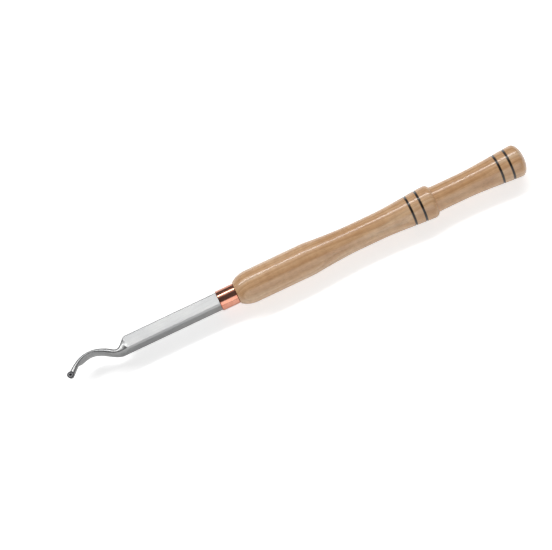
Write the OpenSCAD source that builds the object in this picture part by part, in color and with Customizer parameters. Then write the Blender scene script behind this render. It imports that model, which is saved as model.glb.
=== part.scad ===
// Hollowing tool for a wood lathe: a square steel bar with a hooked neck, a round carbide insert
// screwed to its tip, and a turned maple handle with a copper ferrule.
// Millimetres. +X runs along the bar towards the handle's butt and +Z is up. The insert is at the
// -X end, its cutting face up. The origin is the middle of the bar's flat underside, which is the
// face that slides on the lathe's tool rest.

/* [Bar] */
// Width of the square bar across its flats
bar_w = 19.05; // [16:0.05:22]
// Visible straight length of the bar, from the ferrule to the neck's shoulder
bar_len = 127; // [80:1:260]
// Chamfer along the bar's four long edges
bar_chamfer = 2; // [0.5:0.1:3]
// Diameter of the round tang inside the handle
tang_d = 15.9; // [12:0.1:16]
// Length of the tang behind the bar's square shoulder
tang_len = 95; // [60:1:140]
// Chamfer on the tang's rear end
tang_chamfer = 1.5; // [0.5:0.1:3]

/* [Neck] */
// Distance along the bar from the neck's shoulder to the insert's axis
neck_reach = 81.6; // [77:0.1:95]
// Offset of the insert's axis from the bar's middle plane, to the hook's open side
seat_offset = 8.5; // [5:0.1:11]
// Distance from the shoulder to the deepest point of the hollow behind the hook
root_at = 15.5; // [12:0.1:18]
// Distance from the shoulder over which the neck keeps the bar's own flat side
straight_side = 11; // [8:0.1:15]
// Width of the neck where it leaves the bar
root_w = 7.4; // [6:0.1:10]
// Distance from the shoulder to the middle of the neck's climb
climb_at = 26; // [24:0.1:30]
// Offset of the neck's centre line in the middle of its climb
climb_offset = 0; // [-2:0.1:2]
// Width of the neck in the middle of its climb
climb_w = 6.2; // [5:0.1:8]
// Angle of the climb to the bar
climb_angle = 33; // [20:1:40]
// Distance from the shoulder to the neck's crest
crest_at = 49.5; // [46:0.1:54]
// Offset of the neck's centre line at the crest
crest_offset = 8.8; // [6:0.1:11]
// Width of the neck at its crest, where it is thinnest
crest_w = 4.2; // [3.6:0.1:7]
// Distance from the shoulder to the middle of the neck's fall to the tip
fall_at = 66.5; // [64:0.1:71]
// Offset of the neck's centre line in the middle of its fall
fall_offset = 4.2; // [2:0.1:6]
// Width of the neck in the middle of its fall
fall_w = 5.4; // [4.6:0.1:8]
// Angle of the fall to the bar
fall_angle = 30; // [20:1:40]
// Width of the tongue under the insert
tongue_w = 7.4; // [6.6:0.1:7.8]
// Height of the tongue under the neck's top
tongue_h = 6.3; // [5:0.1:9]
// Angle of the tongue to the bar
tongue_angle = 43; // [30:1:50]
// Radius of the neck's rounded top on its outer side
outer_round = 3; // [1:0.1:3.4]
// Radius of the neck's rounded top on its inner side
inner_round = 1.8; // [0.6:0.1:2.2]
// Radius along the neck's lower edges
lower_round = 1.3; // [0.4:0.1:1.8]
// How far the underside rises from the shoulder to the heel
belly_rise = 4.6; // [0:0.1:6]
// Distance from the shoulder to the heel, where the underside turns up to the tongue
heel_at = 58; // [54:0.1:61]
// Length of the rounded heel
heel_len = 11; // [8:0.1:14]

/* [Insert and screw] */
// Diameter of the insert's cutting edge
insert_d = 9; // [8.6:0.1:12]
// Thickness of the insert
insert_t = 3; // [2.6:0.1:4]
// Taper of the insert's side from upright, so that the edge clears the work
insert_relief = 8; // [5:1:11]
// Height of the insert's cutting face above the neck's top
insert_proud = 0.25; // [0:0.05:1]
// Major diameter of the screw
screw_d = 3; // [2.5:0.1:3.5]
// Diameter of the screw's countersunk head
head_d = 5.4; // [5:0.1:6]
// Width of the screw's hexagon socket across its flats
socket_w = 2.4; // [1.8:0.1:2.6]
// Depth of the screw's socket
socket_depth = 1.7; // [1:0.1:2]
// Depth of the screw's head below the cutting face
head_sunk = 0.1; // [0:0.05:0.4]
// Gap between the screw's end and the tongue's underside
screw_short = 0.4; // [0.2:0.1:1]
// Chamfer on the screw's end
screw_chamfer = 0.4; // [0.2:0.1:0.8]

/* [Handle] */
// Length of the handle behind the ferrule
handle_len = 404; // [380:1:450]
// Diameter at the handle's front edge, behind the ferrule
nose_d = 29.4; // [28.5:0.1:34]
// Length of the rounded nose
nose_len = 22; // [12:1:30]
// Slope of the radius at the front edge
nose_slope = 0.75; // [0.4:0.05:1]
// Diameter of the front grip
grip_d = 43.1; // [38:0.1:50]
// Distance from the handle's front edge to the end of the front grip
grip_end = 98; // [80:1:105]
// Length of the taper's steep part, from the grip's end to its middle
taper_len = 20; // [12:1:30]
// Share of the step from grip to waist that lies before the taper's middle
taper_share = 0.39; // [0.3:0.01:0.5]
// Slope of the radius in the taper's middle
taper_slope = 0.075; // [0.04:0.005:0.1]
// Diameter of the long waist
waist_d = 35; // [30:0.1:38]
// Distance from the front edge to the start of the waist
waist_start = 166; // [150:1:180]
// Distance from the front edge to the end of the waist
waist_end = 196; // [185:1:210]
// Diameter of the collar
collar_d = 43.8; // [40:0.1:50]
// Distance from the front edge to the collar's rear face
collar_end = 277; // [265:0.5:290]
// Slope of the radius where the collar starts to round over
collar_slope = 0.05; // [0:0.01:0.1]
// Length of the collar's rounded rear edge
collar_round = 7; // [3:0.5:9]
// Diameter of the rear grip at its thinnest
rear_d = 33.7; // [30:0.1:38]
// Length of the rear grip that keeps its thinnest diameter
rear_straight = 28; // [10:1:40]
// How much larger the rear grip's radius is in the corner behind the collar
corner_rise = 0.4; // [0:0.1:1]
// Length of the hollow from that corner to the thinnest diameter
corner_len = 12; // [8:0.5:18]
// Slope of the radius in that corner
corner_slope = 0.06; // [0:0.01:0.1]
// Slope of the radius where the butt starts to round over
butt_slope = 0.05; // [0:0.01:0.1]
// Diameter of the butt
butt_d = 42.8; // [38:0.1:50]
// Length of the domed end
butt_dome = 10.6; // [6:0.1:16]
// Width of each burnt ring groove
groove_w = 2; // [1:0.1:3]
// Depth of each burnt ring groove
groove_depth = 0.7; // [0.3:0.1:1.2]
// Distance between the two grooves of a pair
groove_pitch = 14.3; // [8:0.1:20]
// Distance from the collar's rear face to the nearer groove
collar_groove = 18.7; // [12:0.1:26]
// Distance from the end of the butt to the nearer groove
butt_groove = 21.8; // [16:0.1:30]

/* [Ferrule and adhesive] */
// Outer diameter of the ferrule
ferrule_d = 26.7; // [26:0.1:28]
// Wall of the ferrule's tube
ferrule_wall = 1.5; // [1:0.1:2]
// Length of the ferrule
ferrule_len = 24.6; // [18:0.1:35]
// Rounding on the ferrule's two outer edges
ferrule_round = 0.8; // [0.2:0.1:1]
// Thickness of the adhesive round the tang
glue_t = 0.4; // [0.2:0.1:1]
// Depth of the handle's bore past the tang's end
bore_spare = 3; // [1:0.5:10]

/* [Clearances] */
// Gap under the insert, so that it turns on its seat
seat_gap = 0.02; // [0.01:0.01:0.1]
// Gap between the insert's edge and the wall of its seat
pocket_gap = 0.2; // [0.1:0.05:0.4]
// Gap round the screw in the insert, on the shank and under the head
insert_gap = 0.05; // [0.02:0.01:0.1]
// Gap round the screw in its threaded hole
thread_gap = 0.03; // [0.01:0.01:0.1]

/* [Hidden] */

$fn = 96;
past = 1;                               // how far a cut runs past the face that it opens
steps = 14;                             // parts that each stretch of a curve is drawn in
half_w = bar_w / 2;
shoulder_x = -bar_len / 2;
ferrule_x = bar_len / 2;
handle_x = ferrule_x + ferrule_len;
seat_x = shoulder_x - neck_reach;
seat_z = bar_w + insert_proud - insert_t;
tongue_z = bar_w - tongue_h;
face_z = bar_w + insert_proud;
tang_r = tang_d / 2;
bore_r = tang_r + glue_t;
tenon_r = ferrule_d / 2 - ferrule_wall;

// The angles of a quarter turn in a number of parts, and a list from its end
function quarter(parts) = [for (i = [0 : parts]) 90 * i / parts];
function backwards(list) = [for (i = [len(list) - 1 : -1 : 0]) list[i]];

// Smooth curves between two points, each [place, value, slope]
function mix(a, b, v) = a + (b - a) * v;
function smooth(v) = 3 * pow(v, 2) - 2 * pow(v, 3);
function curve_value(a, b, v) = mix(a[1], b[1], smooth(v))
    + (b[0] - a[0]) * (a[2] * v * pow(1 - v, 2) - b[2] * pow(v, 2) * (1 - v));
function curve_slope(a, b, v) = (b[1] - a[1]) / (b[0] - a[0]) * 6 * v * (1 - v)
    + a[2] * (1 - v) * (1 - 3 * v) + b[2] * v * (3 * v - 2);
function curve_points(keys, parts) = [
    for (i = [0 : len(keys) - 2]) for (j = [(i == 0 ? 0 : 1) : parts])
        let (v = j / parts)
        [mix(keys[i][0], keys[i + 1][0], v), curve_value(keys[i], keys[i + 1], v)]];

// The neck in plan. Each key is [distance from the shoulder, offset, slope], for the outer and the
// inner edge. On a sloping stretch the two edges lie square to the centre line.
function edge_key(at, offset, width, angle, side) = [
    at - side * width / 2 * sin(angle), offset + side * width / 2 * cos(angle), tan(angle)];
function edge_keys(side) = [
    [0, side * half_w, 0],
    side > 0 ? [root_at, root_w - half_w, 0] : [straight_side, -half_w, 0],
    edge_key(climb_at, climb_offset, climb_w, climb_angle, side),
    edge_key(crest_at, crest_offset, crest_w, 0, side),
    edge_key(fall_at, fall_offset, fall_w, -fall_angle, side),
    edge_key(neck_reach, -seat_offset, tongue_w, -tongue_angle, side)];
outer_keys = edge_keys(1);
inner_keys = edge_keys(-1);

// How far each edge is cut back, at the same keys: the bar's chamfer, then the neck's rounding,
// which never takes more than a share of the width there
function cut_backs(edge_round, share) = [bar_chamfer,
    for (w = [root_w, climb_w, crest_w, fall_w, tongue_w]) min(edge_round, share * w)];
outer_share = 0.5;
inner_share = 0.4;
outer_cuts = cut_backs(outer_round, outer_share);
inner_cuts = cut_backs(inner_round, inner_share);
lower_cuts = cut_backs(lower_round, inner_share);
roundness = [0, 1, 1, 1, 1, 1];         // 0 for a flat chamfer, 1 for a full round

// Height of the neck's underside: it rises evenly to the heel, then turns up to the tongue
function heel_turn(v) = 1 - sqrt(1 - pow(min(v, 1), 2));
function underside(at) = at <= 0 ? 0
    : at <= heel_at ? belly_rise * at / heel_at
    : mix(belly_rise, tongue_z, heel_turn((at - heel_at) / heel_len));

// One point of an edge, with its unit normal out of the steel, as [distance, offset, normal]
function edge_at(keys, i, v, side) =
    let (slope = curve_slope(keys[i], keys[i + 1], v), size = norm([slope, 1]))
    [mix(keys[i][0], keys[i + 1][0], v), curve_value(keys[i], keys[i + 1], v),
     [-side * slope, side] / size];

// A corner of a section between an upright side and a level face, as points from the side to the
// face: turned is 1 for the top and -1 for the underside
function corner(edge, cut, level, turned, round) = [for (a = quarter(3))
    let (flat = a / 90,
         by = cut * mix(flat, 1 - cos(a), round),
         down = cut * mix(1 - flat, 1 - sin(a), round))
    [shoulder_x - edge[0] + by * edge[2][0], edge[1] - by * edge[2][1], level - turned * down]];

// One section of the neck, as the points round it from the top of its inner side
function neck_section(i, v) =
    let (o = edge_at(outer_keys, i, v, 1), n = edge_at(inner_keys, i, v, -1), s = smooth(v),
         round = mix(roundness[i], roundness[i + 1], s),
         low = underside((o[0] + n[0]) / 2), low_cut = mix(lower_cuts[i], lower_cuts[i + 1], s))
    concat(
        backwards(corner(o, mix(outer_cuts[i], outer_cuts[i + 1], s), bar_w, 1, round)),
        corner(o, low_cut, low, -1, round),
        backwards(corner(n, low_cut, low, -1, round)),
        corner(n, mix(inner_cuts[i], inner_cuts[i + 1], s), bar_w, 1, round));
neck_sections = [for (i = [0 : len(outer_keys) - 2]) for (j = [(i == 0 ? 0 : 1) : steps])
    neck_section(i, j / steps)];

module neck() {
    rings = len(neck_sections);
    sides = len(neck_sections[0]);
    last = (rings - 1) * sides;
    polyhedron(
        points = [for (ring = neck_sections) each ring],
        faces = concat(
            [[for (k = [0 : sides - 1]) k]],
            [[for (k = [0 : sides - 1]) last + sides - 1 - k]],
            [for (r = [0 : rings - 2]) for (k = [0 : sides - 1])
                let (a = r * sides + k, b = r * sides + (k + 1) % sides)
                each [[a, a + sides, b], [b, a + sides, b + sides]]]));
}

// Shapes that turn about the tool's long axis are drawn as [distance, radius] points
module turned(points) {
    translate([0, 0, half_w]) rotate([0, 90, 0])
        rotate_extrude() polygon([for (p = points) [p[1], p[0]]]);
}

// The tongue's round end, which carries the insert
module tip() {
    r = tongue_w / 2;
    cut = lower_cuts[len(lower_cuts) - 1];
    rotate_extrude() polygon(concat(
        [[0, seat_z - tongue_z], [0, 0]],
        [for (a = backwards(quarter(3))) [r - cut * (1 - cos(a)), cut * (1 - sin(a))]],
        [[r, seat_z - tongue_z]]));
}

module tool_bar() {
    color("silver") difference() {
        union() {
            translate([shoulder_x, 0, half_w]) rotate([90, 0, 90]) linear_extrude(bar_len)
                polygon([for (corner = [0 : 3]) each [
                    rotated([half_w, half_w - bar_chamfer], corner),
                    rotated([half_w - bar_chamfer, half_w], corner)]]);
            neck();
            translate([seat_x, -seat_offset, tongue_z]) tip();
            turned([[ferrule_x - past, 0], [ferrule_x - past, tang_r],
                    [ferrule_x + tang_len - tang_chamfer, tang_r],
                    [ferrule_x + tang_len, tang_r - tang_chamfer], [ferrule_x + tang_len, 0]]);
        }
        translate([seat_x, -seat_offset, seat_z])
            cylinder(h = insert_t + past, r = insert_d / 2 + pocket_gap);
        translate([seat_x, -seat_offset, tongue_z - past])
            cylinder(h = tongue_h + past, r = screw_d / 2 + thread_gap);
    }
}
function rotated(p, quarter) = quarter == 0 ? p : rotated([-p[1], p[0]], quarter - 1);

// The countersink is a right-angled cone, so its radius falls as fast as its depth grows
sink_r = head_d / 2 + insert_gap;
hole_r = screw_d / 2 + insert_gap;

module cutter() {
    top_r = insert_d / 2;
    base_r = top_r - insert_t * tan(insert_relief);
    sink = sink_r + head_sunk - hole_r;
    color("dimgray") translate([seat_x, -seat_offset, seat_z + seat_gap]) rotate_extrude()
        polygon([[hole_r, 0], [base_r, 0], [top_r, insert_t - seat_gap],
                 [sink_r + head_sunk, insert_t - seat_gap], [hole_r, insert_t - seat_gap - sink]]);
}

module cutter_screw() {
    head_r = head_d / 2;
    shank_r = screw_d / 2;
    top_z = face_z - head_sunk;
    neck_z = top_z - (head_r - shank_r);
    end_z = tongue_z + screw_short;
    color("gray") translate([seat_x, -seat_offset, 0]) difference() {
        rotate_extrude() polygon([[0, end_z], [shank_r - screw_chamfer, end_z],
            [shank_r, end_z + screw_chamfer], [shank_r, neck_z], [head_r, top_z], [0, top_z]]);
        translate([0, 0, top_z - socket_depth])
            cylinder(h = socket_depth + past, d = socket_w / cos(30), $fn = 6);
    }
}

module ferrule() {
    mid_r = ferrule_d / 2 - ferrule_round;
    color([0.72, 0.45, 0.35]) turned(concat(
        [[ferrule_x, tenon_r]],
        [for (a = backwards(quarter(4)))
            [ferrule_x + ferrule_round * (1 - sin(a)), mid_r + ferrule_round * cos(a)]],
        [for (a = quarter(4))
            [handle_x - ferrule_round * (1 - sin(a)), mid_r + ferrule_round * cos(a)]],
        [[handle_x, tenon_r]]));
}

// The handle's outline behind the ferrule, as [distance from its front edge, radius, slope]
taper_at = grip_end + taper_len;
front_keys = [
    [0, nose_d / 2, nose_slope],
    [nose_len, grip_d / 2, 0],
    [grip_end, grip_d / 2, 0],
    [taper_at, mix(grip_d, waist_d, taper_share) / 2, -taper_slope],
    [waist_start, waist_d / 2, 0],
    [waist_end, waist_d / 2, 0],
    [collar_end - collar_round, collar_d / 2, collar_slope]];
rear_start = collar_end + corner_len;
rear_keys = [
    [collar_end, rear_d / 2 + corner_rise, -corner_slope],
    [rear_start, rear_d / 2, 0],
    [rear_start + rear_straight, rear_d / 2, 0],
    [handle_len - butt_dome, butt_d / 2, butt_slope]];

// A quarter of an ellipse from a radius down to a smaller one
function round_down(at, length, r1, r2) = [for (a = quarter(steps)) if (a > 0)
    [at + length * sin(a), mix(r2, r1, cos(a))]];
outline = concat(
    curve_points(front_keys, steps),
    round_down(collar_end - collar_round, collar_round, collar_d / 2, rear_keys[0][1]),
    curve_points(rear_keys, steps),
    round_down(handle_len - butt_dome, butt_dome, butt_d / 2, 0));

groove_places = [collar_end - collar_groove - groove_pitch, collar_end - collar_groove,
                 handle_len - butt_groove - groove_pitch, handle_len - butt_groove];
function key_radius(keys, at) = [for (i = [0 : len(keys) - 2]) if (at >= keys[i][0] && at <= keys[i + 1][0])
    curve_value(keys[i], keys[i + 1], (at - keys[i][0]) / (keys[i + 1][0] - keys[i][0]))][0];
function handle_radius(at) = key_radius(at < collar_end ? front_keys : rear_keys, at);

module groove(at) {
    ball_r = (pow(groove_w / 2, 2) + pow(groove_depth, 2)) / (2 * groove_depth);
    translate([handle_x + at, 0, half_w]) rotate([0, 90, 0]) rotate_extrude()
        translate([handle_radius(at) + ball_r - groove_depth, 0]) circle(r = ball_r, $fn = 32);
}

module handle() {
    color([0.85, 0.68, 0.48]) difference() {
        union() {
            turned(concat([[handle_x, 0]], [for (p = outline) [handle_x + p[0], p[1]]]));
            turned([[ferrule_x, 0], [ferrule_x, tenon_r], [handle_x + past, tenon_r], [handle_x + past, 0]]);
        }
        turned([[ferrule_x - past, 0], [ferrule_x - past, bore_r],
                [ferrule_x + tang_len + bore_spare, bore_r], [ferrule_x + tang_len + bore_spare, 0]]);
        for (at = groove_places) groove(at);
    }
}

module tang_adhesive() {
    color([0.9, 0.85, 0.6]) turned([[ferrule_x, tang_r], [ferrule_x, bore_r],
        [ferrule_x + tang_len - tang_chamfer, bore_r], [ferrule_x + tang_len - tang_chamfer, tang_r]]);
}

tool_bar();
cutter();
cutter_screw();
ferrule();
handle();
tang_adhesive();
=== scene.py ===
# %% [markdown]
# Hollowing tool for a wood lathe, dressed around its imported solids. The tool lies along X with its
# insert at the -X end and its handle's butt at the +X end. Every length is in metres.

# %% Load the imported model
import math

import bpy
import numpy as np
from mathutils import Matrix, Vector


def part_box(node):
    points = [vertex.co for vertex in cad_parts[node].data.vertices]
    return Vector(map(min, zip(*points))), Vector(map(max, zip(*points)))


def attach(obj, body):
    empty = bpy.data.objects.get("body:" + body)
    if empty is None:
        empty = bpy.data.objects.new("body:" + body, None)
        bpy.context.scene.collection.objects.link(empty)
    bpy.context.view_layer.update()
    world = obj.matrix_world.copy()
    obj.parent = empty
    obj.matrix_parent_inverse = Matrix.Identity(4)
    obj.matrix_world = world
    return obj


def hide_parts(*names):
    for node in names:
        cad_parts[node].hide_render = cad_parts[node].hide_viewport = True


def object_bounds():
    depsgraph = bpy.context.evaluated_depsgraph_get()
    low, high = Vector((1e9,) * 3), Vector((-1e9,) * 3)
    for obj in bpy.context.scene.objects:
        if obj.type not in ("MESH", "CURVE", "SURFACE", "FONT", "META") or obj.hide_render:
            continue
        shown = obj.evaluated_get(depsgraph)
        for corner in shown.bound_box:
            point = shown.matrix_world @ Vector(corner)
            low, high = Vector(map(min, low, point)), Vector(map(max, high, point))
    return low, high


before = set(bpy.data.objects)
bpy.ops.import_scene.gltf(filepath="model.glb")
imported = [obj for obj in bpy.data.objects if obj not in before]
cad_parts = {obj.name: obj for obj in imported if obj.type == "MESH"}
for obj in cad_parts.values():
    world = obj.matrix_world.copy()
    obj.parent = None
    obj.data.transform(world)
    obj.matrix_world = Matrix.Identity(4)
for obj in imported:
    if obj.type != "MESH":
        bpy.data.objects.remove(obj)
cad_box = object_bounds()
scene = bpy.context.scene
scene.view_settings.view_transform = "Standard"
MM = 0.001

# %% [markdown]
# The driving sizes are read from the solids, so the dressed pieces keep to them. The tool's long
# axis runs through the ferrule's centre, and the ferrule's ends give the start of the handle.

# %% Sizes from the solids
ferrule_low, ferrule_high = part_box("ferrule")
handle_low, handle_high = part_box("handle")
cutter_low, cutter_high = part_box("cutter")
AXIS_Z = (ferrule_low.z + ferrule_high.z) / 2
FERRULE_X = ferrule_low.x
HANDLE_X = ferrule_high.x
BUTT_X = handle_high.x
FERRULE_R = (ferrule_high.y - ferrule_low.y) / 2
HANDLE_LEN = round((BUTT_X - HANDLE_X) / MM, 3)
COLLAR_END = 277
GROOVE_PITCH = 14.3
COLLAR_GROOVE = COLLAR_END - 18.7
BUTT_GROOVE = HANDLE_LEN - 21.8
GROOVES_AT = [HANDLE_X + at * MM for at in (COLLAR_GROOVE - GROOVE_PITCH, COLLAR_GROOVE,
                                            BUTT_GROOVE - GROOVE_PITCH, BUTT_GROOVE)]
print("tool axis at z", round(AXIS_Z, 5), "handle from", round(HANDLE_X, 4), "to", round(BUTT_X, 4))

# %% [markdown]
# A photographer's long lens far above the tool keeps its sides almost parallel. The camera stands
# 65 degrees above the floor on the -Y side, and its roll lays the handle up to the right.

# %% Camera
WIDTH_PX = 552
FOCAL_PX = 1840
MM_PER_PX = 1.27
ELEVATION = math.radians(65)
ROLL = math.radians(25.304)
PERPENDICULAR_X = 95.8 * MM
AIM_X = 143.07 * MM
AIM_ACROSS = -0.76 * MM
distance = FOCAL_PX * MM_PER_PX * MM
across = Vector((0, math.sin(ELEVATION), math.cos(ELEVATION)))
above = Vector((0, -math.cos(ELEVATION), math.sin(ELEVATION)))
tilt = math.atan2(AIM_X - PERPENDICULAR_X, distance)
along = Vector((math.cos(tilt), 0, 0)) + above * math.sin(tilt)
backwards = above * math.cos(tilt) - Vector((math.sin(tilt), 0, 0))
right = along * math.cos(ROLL) - across * math.sin(ROLL)
up = along * math.sin(ROLL) + across * math.cos(ROLL)

camera_data = bpy.data.cameras.new("camera")
camera_data.sensor_width = 36
camera_data.lens = FOCAL_PX / WIDTH_PX * camera_data.sensor_width
camera_data.clip_end = 50
camera = bpy.data.objects.new("camera", camera_data)
scene.collection.objects.link(camera)
turn = Matrix((right, up, backwards)).transposed().to_4x4()
place = Vector((PERPENDICULAR_X, 0, AXIS_Z)) + above * distance + across * AIM_ACROSS
camera.matrix_world = Matrix.Translation(place) @ turn
scene.camera = camera
print("camera at", tuple(round(v, 3) for v in place))


# %% [markdown]
# Colours are written as the sRGB hex values that a colour picker shows. The shader works in linear
# light, so one function turns them. One more adds a node with its settings and its links.

# %% Colour and node helpers
def linear(hex_colour):
    """sRGB hex to linear RGBA: c / 12.92 below 0.04045, else ((c + 0.055) / 1.055) to the power 2.4."""
    c = np.array([int(hex_colour[i:i + 2], 16) for i in (1, 3, 5)]) / 255
    value = np.where(c <= 0.04045, c / 12.92, ((c + 0.055) / 1.055) ** 2.4)
    return (*value.tolist(), 1.0)


def add(material, kind, settings=None, **links):
    """Adds a node; settings are its properties, and links are sockets' values or output sockets."""
    tree = material.node_tree
    node = tree.nodes.new("ShaderNode" + kind)
    for name, value in (settings or {}).items():
        setattr(node, name, value)
    for name, value in links.items():
        key = int(name[1:]) if name[1:].isdigit() else name.replace("_", " ")
        socket = node.inputs[key]
        if isinstance(value, bpy.types.NodeSocket):
            tree.links.new(value, socket)
        else:
            socket.default_value = value
    return node


def ramp(material, factor, stops):
    """A colour ramp: stops are (place from 0 to 1, hex colour)."""
    node = add(material, "ValToRGB", Fac=factor)
    band = node.color_ramp
    for i, (place_at, colour) in enumerate(stops):
        stop = band.elements[i] if i < 2 else band.elements.new(place_at)
        stop.position = place_at
        stop.color = linear(colour)
    return node.outputs["Color"]


def levels(material, value, low, high, out_low=0.0, out_high=1.0):
    """Maps value from [low, high] to [out_low, out_high] along a smooth step, clamped."""
    node = add(material, "MapRange", {"interpolation_type": "SMOOTHSTEP"}, Value=value,
               From_Min=low, From_Max=high, To_Min=out_low, To_Max=out_high)
    return node.outputs["Result"]


def maths(material, operation, a, b=0.0):
    """One sum on two values or sockets."""
    return add(material, "Math", {"operation": operation}, _0=a, _1=b).outputs[0]


def mixed(material, factor, a, b, blend="MIX"):
    """Mixes colours a and b by factor."""
    node = add(material, "MixRGB", {"blend_type": blend}, Fac=factor, Color1=a, Color2=b)
    return node.outputs["Color"]


def noise(material, where, scale, stretch=(1, 1, 1), detail=4.0, roughness=0.5):
    """Noise on Object coordinates: scale is in cycles a metre, stretch multiplies it on each axis."""
    mapping = add(material, "Mapping", Vector=where, Scale=tuple(scale * s for s in stretch))
    node = add(material, "TexNoise", Vector=mapping.outputs[0], Scale=1.0, Detail=detail,
               Roughness=roughness)
    return node.outputs["Fac"]


def start(name, metallic=0.0):
    """A new material with its shader and its Object coordinates."""
    material = bpy.data.materials.new(name)
    material.use_nodes = True
    shader = material.node_tree.nodes["Principled BSDF"]
    shader.inputs["Metallic"].default_value = metallic
    where = add(material, "TexCoord").outputs["Object"]
    return material, shader, where


def feed(material, shader, **sources):
    """Links outputs to the shader's sockets."""
    for name, source in sources.items():
        material.node_tree.links.new(source, shader.inputs[name.replace("_", " ")])


def bump(material, height, depth):
    """Bump of a real depth in metres from a height of 0 to 1."""
    return add(material, "Bump", Height=height, Distance=depth, Strength=1.0).outputs["Normal"]


# %% [markdown]
# The bar is cold-drawn stainless steel, brushed along its length, and its neck is milled out of the
# same bar, which leaves fine upright tool marks on the neck's walls. Fine lines spread the
# reflections, so the steel looks pale and satin and not like a mirror.

# %% Stainless steel
LINE_PITCH = 0.35 * MM
MILL_PITCH = 1.1 * MM
NECK_FROM, NECK_TO = -64 * MM, -70 * MM


def brushed_stainless():
    """Base colour with faint clouding; lines along X on the bar and upright marks on the neck."""
    material, shader, where = start("brushed_stainless", metallic=1.0)
    x = add(material, "SeparateXYZ", Vector=where).outputs["X"]
    on_neck = levels(material, maths(material, "MULTIPLY", x, -1.0), -NECK_FROM, -NECK_TO)
    lines = noise(material, where, 1 / LINE_PITCH, (0.02, 1, 1), detail=3)
    mill = noise(material, where, 1 / MILL_PITCH, (1, 0.25, 0.06), detail=3, roughness=0.6)
    cloud = noise(material, where, 45, (0.35, 1, 1), detail=5)
    pattern = add(material, "Mix", {"data_type": "FLOAT"}, _0=on_neck, _2=lines, _3=mill).outputs[0]
    tone = ramp(material, cloud, [(0.3, "#A1A2A3"), (0.7, "#B3B3B2")])
    lined = mixed(material, 0.35, tone, ramp(material, pattern, [(0.3, "#A9A9A9"), (0.7, "#FFFFFF")]),
                  "MULTIPLY")
    feed(material, shader, Base_Color=lined,
         Roughness=levels(material, pattern, 0.3, 0.7, 0.30, 0.42),
         Normal=bump(material, pattern, 0.012 * MM))
    return material


# %% [markdown]
# The insert is sintered tungsten carbide, a dark grey ceramic-like metal. It is pressed and then
# ground, so its faces are fine and even; its colour is lighter next to the screw and at its rim,
# and darker between. The screw is hardened steel with a dark oxide; its colour darkens towards
# its centre, a painted shade in its socket, and is lighter towards the edge of its head.

# %% Carbide and screw steel
CUTTER_X = (cutter_low.x + cutter_high.x) / 2
CUTTER_Y = (cutter_low.y + cutter_high.y) / 2
GRAIN = 0.25 * MM


def round_metal(name, stops, rough_low, rough_high, depth):
    """A dark metal whose colour follows the distance from the insert's axis, with a fine grain."""
    material, shader, where = start(name, metallic=1.0)
    centred = add(material, "Mapping", Vector=where, Location=(-CUTTER_X, -CUTTER_Y, 0)).outputs[0]
    flat = add(material, "Mapping", Vector=centred, Scale=(1, 1, 0)).outputs[0]
    radius = add(material, "VectorMath", {"operation": "LENGTH"}, _0=flat).outputs["Value"]
    grain = noise(material, where, 1 / GRAIN, detail=5, roughness=0.6)
    # Colour by distance from the insert's axis; on the screw the dark centre is painted shade in its
    # socket.
    shade = ramp(material, maths(material, "DIVIDE", radius, 5 * MM), stops)
    speckle = ramp(material, grain, [(0.35, "#B8B8B8"), (0.65, "#FFFFFF")])
    feed(material, shader, Base_Color=mixed(material, 0.4, shade, speckle, "MULTIPLY"),
         Roughness=levels(material, grain, 0.3, 0.7, rough_low, rough_high),
         Normal=bump(material, grain, depth))
    return material


# %% [markdown]
# The ferrule is a length of copper pipe, polished on the lathe. Its lines run round the tube,
# and its two ends are painted dark brown, a painted shade where it meets the bar and the handle.

# %% Copper
TURNED_PITCH = 0.3 * MM


def polished_copper():
    """Clear reflections, tool lines round the tube as noise along X, colour in clouds, and painted
    shade at both ends.
    """
    material, shader, where = start("polished_copper", metallic=1.0)
    turned_lines = noise(material, where, 1 / TURNED_PITCH, (1, 0.01, 0.01), detail=2)
    cloud = noise(material, where, 120, detail=5)
    x = add(material, "SeparateXYZ", Vector=where).outputs["X"]
    middle = (FERRULE_X + HANDLE_X) / 2
    half = (HANDLE_X - FERRULE_X) / 2
    from_middle = maths(material, "ABSOLUTE", maths(material, "SUBTRACT", x, middle))
    # Within 1.6 mm of each end the colour turns dark brown: painted shade where the ferrule meets the
    # bar and the handle.
    painted_end_shade = levels(material, from_middle, half - 1.6 * MM, half)
    copper_tone = ramp(material, cloud, [(0.3, "#D98F78"), (0.7, "#EBAA92")])
    feed(material, shader, Base_Color=mixed(material, painted_end_shade, copper_tone, linear("#8A4A38")),
         Roughness=levels(material, cloud, 0.3, 0.7, 0.10, 0.17),
         Normal=bump(material, turned_lines, 0.004 * MM))
    return material


# %% [markdown]
# The handle is maple under a gloss lacquer. A turned cylinder cuts through the tree's rings, which
# shows as long soft figure; short darker flecks and a faint cross ripple are the wood's own. The
# four ring grooves were burnt with a wire while the handle spun, so they are black with brown rims.

# %% Lacquered maple
RING_PITCH = 5 * MM
FLECK_LENGTH, FLECK_WIDTH = 6 * MM, 0.45 * MM
PITH_Y, PITH_Z = 46 * MM, -38 * MM
BURN_HALF = 1.0 * MM
BURN_RIM = 2.1 * MM


def burnt(material, x):
    """The share of char at x: 1 in each groove and 0 past its brown rim."""
    total = 0.0
    for at in GROOVES_AT:
        off = maths(material, "ABSOLUTE", maths(material, "SUBTRACT", x, at))
        total = maths(material, "MAXIMUM", levels(material, off, BURN_RIM, BURN_HALF), total)
    return total


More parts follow.
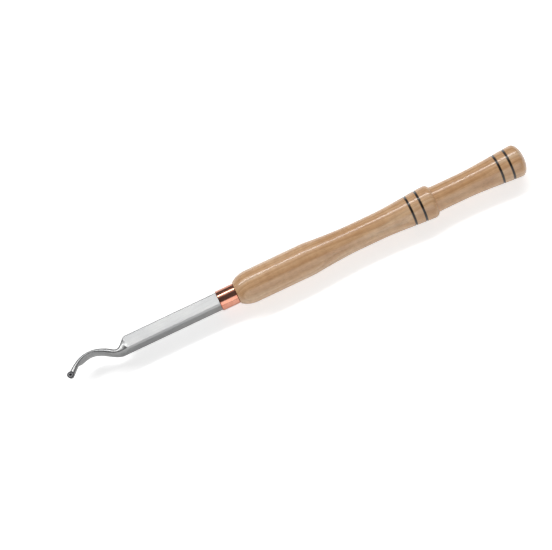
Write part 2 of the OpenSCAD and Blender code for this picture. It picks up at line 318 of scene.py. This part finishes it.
def lacquered_maple():
    """Rings by distance from a pith beside the handle, bent by noise, then flecks, ripple and char."""
    material, shader, where = start("lacquered_maple")
    pith = add(material, "Mapping", Vector=where, Location=(0, PITH_Y, PITH_Z),
               Scale=(0.12, 1, 1)).outputs[0]
    wander = noise(material, where, 22, (0.25, 1, 1), detail=3)
    flat = add(material, "Mapping", Vector=pith, Scale=(0, 1, 1)).outputs[0]
    distance_out = add(material, "VectorMath", {"operation": "LENGTH"}, _0=flat).outputs["Value"]
    bent = maths(material, "ADD", maths(material, "DIVIDE", distance_out, RING_PITCH),
                 maths(material, "MULTIPLY", wander, 3.2))
    ring = maths(material, "FRACT", bent)
    figure = noise(material, where, 60, (0.1, 1, 1), detail=6, roughness=0.6)
    fleck = noise(material, where, 1 / FLECK_WIDTH, (FLECK_WIDTH / FLECK_LENGTH, 1, 1), detail=3)
    ripple = noise(material, where, 130, (1, 0.25, 0.25), detail=2)
    base = ramp(material, figure, [(0.28, "#D8A673"), (0.5, "#EBC092"), (0.72, "#F4D8B5")])
    ringed = mixed(material, 0.30, base,
                   ramp(material, ring, [(0.0, "#C2986E"), (0.75, "#FFFFFF"), (1.0, "#A87B50")]),
                   "MULTIPLY")
    flecked = mixed(material, 0.22, ringed,
                    ramp(material, fleck, [(0.36, "#8C5F3C"), (0.47, "#FFFFFF")]), "MULTIPLY")
    rippled = mixed(material, 0.16, flecked,
                    ramp(material, ripple, [(0.35, "#B08A66"), (0.65, "#FFFFFF")]), "MULTIPLY")
    x = add(material, "SeparateXYZ", Vector=where).outputs["X"]
    char = burnt(material, x)
    feed(material, shader, Base_Color=mixed(material, char, rippled, linear("#1B100A")),
         Roughness=levels(material, fleck, 0.3, 0.7, 0.42, 0.34),
         Normal=bump(material, fleck, 0.01 * MM))
    shader.inputs["IOR"].default_value = 1.5
    shader.inputs["Coat Weight"].default_value = 0.8
    shader.inputs["Coat Roughness"].default_value = 0.07
    return material


# %% [markdown]
# The adhesive is cured epoxy, a cloudy amber. It is sealed inside the handle, so it is plain.

# %% Epoxy
def cured_epoxy():
    """Amber with slight clouding."""
    material, shader, where = start("cured_epoxy")
    cloud = noise(material, where, 150)
    feed(material, shader, Base_Color=ramp(material, cloud, [(0.3, "#C9B273"), (0.7, "#DCC98F")]))
    shader.inputs["Roughness"].default_value = 0.4
    return material


# %% [markdown]
# Turned pieces are one profile carried round the tool's axis. The profile is a list of distances
# along X with their radii, and the surface is that profile at evenly spaced angles.

# %% Turned surfaces
SIDES = 160


def new_piece(name, points, faces, body, material, node, sharp_degrees=30):
    """Puts points and faces into a mesh, smooths it up to an angle, and gives it its body."""
    mesh = bpy.data.meshes.new(name)
    mesh.from_pydata(points, [], faces)
    mesh.polygons.foreach_set("use_smooth", np.ones(len(mesh.polygons), bool))
    mesh.set_sharp_from_angle(angle=math.radians(sharp_degrees))
    mesh.materials.append(material)
    piece = bpy.data.objects.new(name, mesh)
    scene.collection.objects.link(piece)
    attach(piece, body)
    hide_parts(node)
    print(name, len(mesh.polygons), "faces")
    return piece


def revolved(x, radius):
    """Points (x, r cos a, r sin a) about the tool's axis, with one quad between neighbours."""
    angle = np.linspace(0, 2 * np.pi, SIDES, endpoint=False)
    grid_x = np.repeat(x[:, None], SIDES, axis=1)
    points = np.stack([grid_x, radius[:, None] * np.cos(angle),
                       AXIS_Z + radius[:, None] * np.sin(angle)], axis=-1).reshape(-1, 3)
    row = np.arange(len(x) - 1)[:, None] * SIDES
    side = np.arange(SIDES)
    after = (side + 1) % SIDES
    faces = np.stack([row + side, row + SIDES + side, row + SIDES + after, row + after], axis=-1)
    return points, faces.reshape(-1, 4)


def closed_ring(x, radius):
    """A profile whose last point joins its first, carried round the axis."""
    return revolved(np.append(x, x[0]), np.append(radius, radius[0]))


# %% [markdown]
# The handle's outline follows smooth curves between a few measured diameters: nose, grip, taper,
# waist, collar, rear grip and domed butt. Each stretch is a cubic with a given slope at its ends.

# %% The handle's profile
NOSE_R, GRIP_R, WAIST_R, COLLAR_R, REAR_R, BUTT_R = 14.7, 21.55, 17.5, 21.9, 16.85, 21.4
CORNER_R = REAR_R + 0.4
TAPER_R = GRIP_R + (WAIST_R - GRIP_R) * 0.39
COLLAR_ROUND = 7
BUTT_DOME = 10.6
COLLAR_AT = COLLAR_END - COLLAR_ROUND
BUTT_AT = HANDLE_LEN - BUTT_DOME
FRONT = [(0, NOSE_R, 0.75), (22, GRIP_R, 0), (98, GRIP_R, 0), (118, TAPER_R, -0.075),
         (166, WAIST_R, 0), (196, WAIST_R, 0), (COLLAR_AT, COLLAR_R, 0.05)]
REAR = [(COLLAR_END, CORNER_R, -0.06), (289, REAR_R, 0), (317, REAR_R, 0), (BUTT_AT, BUTT_R, 0.05)]
GROOVE_HALF = 1.0
GROOVE_DEPTH = 0.7
TENON_R = 11.85
BORE_R = 8.35
BORE_DEPTH = 98


def smooth_curve(keys, at):
    """Cubic through (place, value, slope) keys: value a to b along 3v^2 - 2v^3 plus the slopes."""
    place_at, value, slope = (np.array(column, float) for column in zip(*keys))
    i = np.clip(np.searchsorted(place_at, at, side="right") - 1, 0, len(keys) - 2)
    span = place_at[i + 1] - place_at[i]
    v = (at - place_at[i]) / span
    blended = value[i] + (value[i + 1] - value[i]) * (3 * v ** 2 - 2 * v ** 3)
    return blended + span * (slope[i] * v * (1 - v) ** 2 - slope[i + 1] * v ** 2 * (1 - v))


def places_between(start_at, end_at):
    """Places 1 mm apart, and a tenth of a groove apart across each groove, from start to end."""
    even = np.arange(math.ceil(start_at), end_at)
    fine = np.linspace(-1.2, 1.2, 13) * GROOVE_HALF
    across_grooves = [(at - HANDLE_X) / MM + fine for at in GROOVES_AT]
    every = np.unique(np.round(np.concatenate([even, [start_at, end_at], *across_grooves]), 4))
    return every[(every >= start_at) & (every <= end_at)]


def handle_profile():
    """The outer outline over nose, grips, collar and butt, with its grooves, in millimetres from the
    nose.
    """
    front = places_between(0, COLLAR_AT)
    rear = places_between(COLLAR_END, BUTT_AT)
    quarter = np.radians(np.linspace(4, 90, 22))
    collar = (COLLAR_AT + COLLAR_ROUND * np.sin(quarter),
              CORNER_R + (COLLAR_R - CORNER_R) * np.cos(quarter))
    dome = (BUTT_AT + BUTT_DOME * np.sin(quarter), BUTT_R * np.cos(quarter))
    x = np.concatenate([front, collar[0], rear[1:], dome[0]])
    r = np.concatenate([smooth_curve(FRONT, front), collar[1], smooth_curve(REAR, rear)[1:], dome[1]])
    for at in GROOVES_AT:
        off = np.abs(x - (at - HANDLE_X) / MM)
        r = r - GROOVE_DEPTH * np.clip(1 - (off / GROOVE_HALF) ** 2, 0, None)
    return x, r


profile_x, profile_r = handle_profile()
ferrule_len = (HANDLE_X - FERRULE_X) / MM
hole_x = np.array([BORE_DEPTH - ferrule_len, BORE_DEPTH - ferrule_len, -ferrule_len, -ferrule_len, 0])
POLE_R = 0.01
hole_r = np.array([POLE_R, BORE_R, BORE_R, TENON_R, TENON_R])
maple = lacquered_maple()
points, faces = revolved(HANDLE_X + np.concatenate([hole_x, profile_x]) * MM,
                         np.concatenate([hole_r, np.maximum(profile_r, POLE_R)]) * MM)
end_caps = [list(range(SIDES)), list(range(len(points) - 1, len(points) - SIDES - 1, -1))]
new_piece("maple_handle", points.tolist(), end_caps + faces[:, ::-1].tolist(), "tool",
          maple, "handle", sharp_degrees=40)

# %% [markdown]
# The ferrule is a plain tube with softly rounded outer edges, as a pipe cutter and a file leave it.

# %% The copper ferrule
EDGE_ROUND = 0.8 * MM
quarter = np.radians(np.linspace(90, 0, 9))
edge_x = FERRULE_X + EDGE_ROUND * (1 - np.sin(quarter))
edge_r = FERRULE_R - EDGE_ROUND + EDGE_ROUND * np.cos(quarter)
tube_x = np.concatenate([[FERRULE_X], edge_x, (FERRULE_X + HANDLE_X) - edge_x[::-1], [HANDLE_X]])
tube_r = np.concatenate([[TENON_R * MM], edge_r, edge_r[::-1], [TENON_R * MM]])
points, faces = closed_ring(tube_x, tube_r)
new_piece("copper_ferrule", points.tolist(), faces[:, ::-1].tolist(), "tool",
          polished_copper(), "ferrule")


# %% [markdown]
# The bar, neck and tongue are one milled piece, and the screw has a cut socket. Their shapes are
# already right in the solids, so a merged copy of each keeps them, with its rounded faces smooth.

# %% Bar and screw from their solids
def merged_copy(name, node, body, material, sharp_degrees):
    """The node's own points with doubles joined, so that its normals can run on smoothly."""
    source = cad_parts[node].data
    co = np.empty(len(source.vertices) * 3, np.float32)
    source.vertices.foreach_get("co", co)
    keys = np.round(co.reshape(-1, 3) * 1e7).astype(np.int64)
    _, first, inverse = np.unique(keys, axis=0, return_index=True, return_inverse=True)
    corners = np.empty(len(source.loops), np.int32)
    source.loops.foreach_get("vertex_index", corners)
    triangles = inverse.reshape(-1)[corners].reshape(-1, 3)
    real = ((triangles[:, 0] != triangles[:, 1]) & (triangles[:, 1] != triangles[:, 2])
            & (triangles[:, 0] != triangles[:, 2]))
    return new_piece(name, co.reshape(-1, 3)[first].tolist(), triangles[real].tolist(), body,
                     material, node, sharp_degrees)


merged_copy("stainless_bar", "tool_bar", "tool", brushed_stainless(), 38)
# The screw darkens towards its centre, a painted shade in the socket, and is lighter towards the edge
# of its head.
screw_steel = round_metal("oxide_screw_steel", [(0.0, "#2E2E2F"), (0.42, "#48484A"), (0.54, "#8C8C8E")],
                          0.28, 0.4, 0.004 * MM)
merged_copy("socket_screw", "cutter_screw", "screw", screw_steel, 30)
# The insert is lighter next to the screw and at its rim, and darker between.
carbide = round_metal("sintered_carbide", [(0.55, "#58585A"), (0.7, "#38383A"), (0.88, "#303032"),
                                           (0.93, "#5E5E60")], 0.24, 0.36, 0.003 * MM)
merged_copy("carbide_insert", "cutter", "insert", carbide, 30)
epoxy_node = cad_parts["tang_adhesive"]
epoxy_node.data.materials.clear()
epoxy_node.data.materials.append(cured_epoxy())

# %% [markdown]
# The floor is white, and what the camera and the metal see of it is plain white paper. Light comes
# from a long strip above and behind, a broad soft panel in front, and the pale room around.

# %% Floor, room and lamps
FLOOR_GAP = 0.3 * MM
floor_z = cad_box[0][2] - FLOOR_GAP
FLOOR_HALF = 6.0
PAPER_GLOW = 0.6
MIRROR_SHARE = 0.5


def white_floor():
    """White paper: diffuse with a little of its own light towards camera and mirrors."""
    material, shader, where = start("white_paper")
    path = add(material, "LightPath")
    mirrored = maths(material, "MAXIMUM", path.outputs["Is Glossy Ray"],
                     path.outputs["Is Transmission Ray"])
    seen = maths(material, "ADD", path.outputs["Is Camera Ray"],
                 maths(material, "MULTIPLY", mirrored, MIRROR_SHARE))
    shader.inputs["Base Color"].default_value = linear("#F4F4F4")
    shader.inputs["Roughness"].default_value = 0.9
    shader.inputs["Emission Color"].default_value = (1, 1, 1, 1)
    feed(material, shader, Emission_Strength=maths(material, "MULTIPLY", seen, PAPER_GLOW))
    return material


corners = [(-FLOOR_HALF, -FLOOR_HALF, floor_z), (FLOOR_HALF, -FLOOR_HALF, floor_z),
           (FLOOR_HALF, FLOOR_HALF, floor_z), (-FLOOR_HALF, FLOOR_HALF, floor_z)]
floor_mesh = bpy.data.meshes.new("floor")
floor_mesh.from_pydata(corners, [], [(0, 1, 2, 3)])
floor_mesh.materials.append(white_floor())
floor = bpy.data.objects.new("floor", floor_mesh)
scene.collection.objects.link(floor)


def panel(name, direction_degrees, away, size_x, size_y, power):
    """A rectangular lamp in the YZ plane, direction_degrees from straight up towards +Y."""
    data = bpy.data.lights.new(name, "AREA")
    data.shape = "RECTANGLE"
    data.size, data.size_y = size_x, size_y
    data.energy = power
    lamp = bpy.data.objects.new(name, data)
    scene.collection.objects.link(lamp)
    angle = math.radians(direction_degrees)
    lamp.location = (AIM_X, away * math.sin(angle), away * math.cos(angle))
    lamp.rotation_euler = (-angle, 0, 0)


panel("strip_above", direction_degrees=33, away=1.6, size_x=3.0, size_y=0.24, power=19)
panel("panel_in_front", direction_degrees=-64, away=1.8, size_x=2.6, size_y=1.2, power=6)

# %% [markdown]
# The room is pale towards the camera's side and darker overhead and behind, which is what gives the
# polished copper its dark bands. A direction's Y says which part of the room it meets.

# %% The room
ROOM_BANDS = [(0.0, 0.75), (0.11, 0.75), (0.18, 0.1), (0.57, 0.1), (0.64, 0.6), (0.74, 0.6),
              (0.8, 0.14)]
world = bpy.data.worlds.new("room")
scene.world = world
world.use_nodes = True
background = world.node_tree.nodes["Background"]
direction = add(world, "TexCoord").outputs["Generated"]
y = add(world, "SeparateXYZ", Vector=direction).outputs["Y"]
half_y = maths(world, "MULTIPLY", y, 0.5)
room = add(world, "ValToRGB", Fac=maths(world, "ADD", half_y, 0.5))
for i, (place_at, level) in enumerate(ROOM_BANDS):
    stop = room.color_ramp.elements[i] if i < 2 else room.color_ramp.elements.new(place_at)
    stop.position = place_at
    stop.color = (level, level, level, 1)
looking = add(world, "LightPath").outputs["Is Camera Ray"]
world.node_tree.links.new(mixed(world, looking, room.outputs["Color"], (1, 1, 1, 1)),
                          background.inputs["Color"])
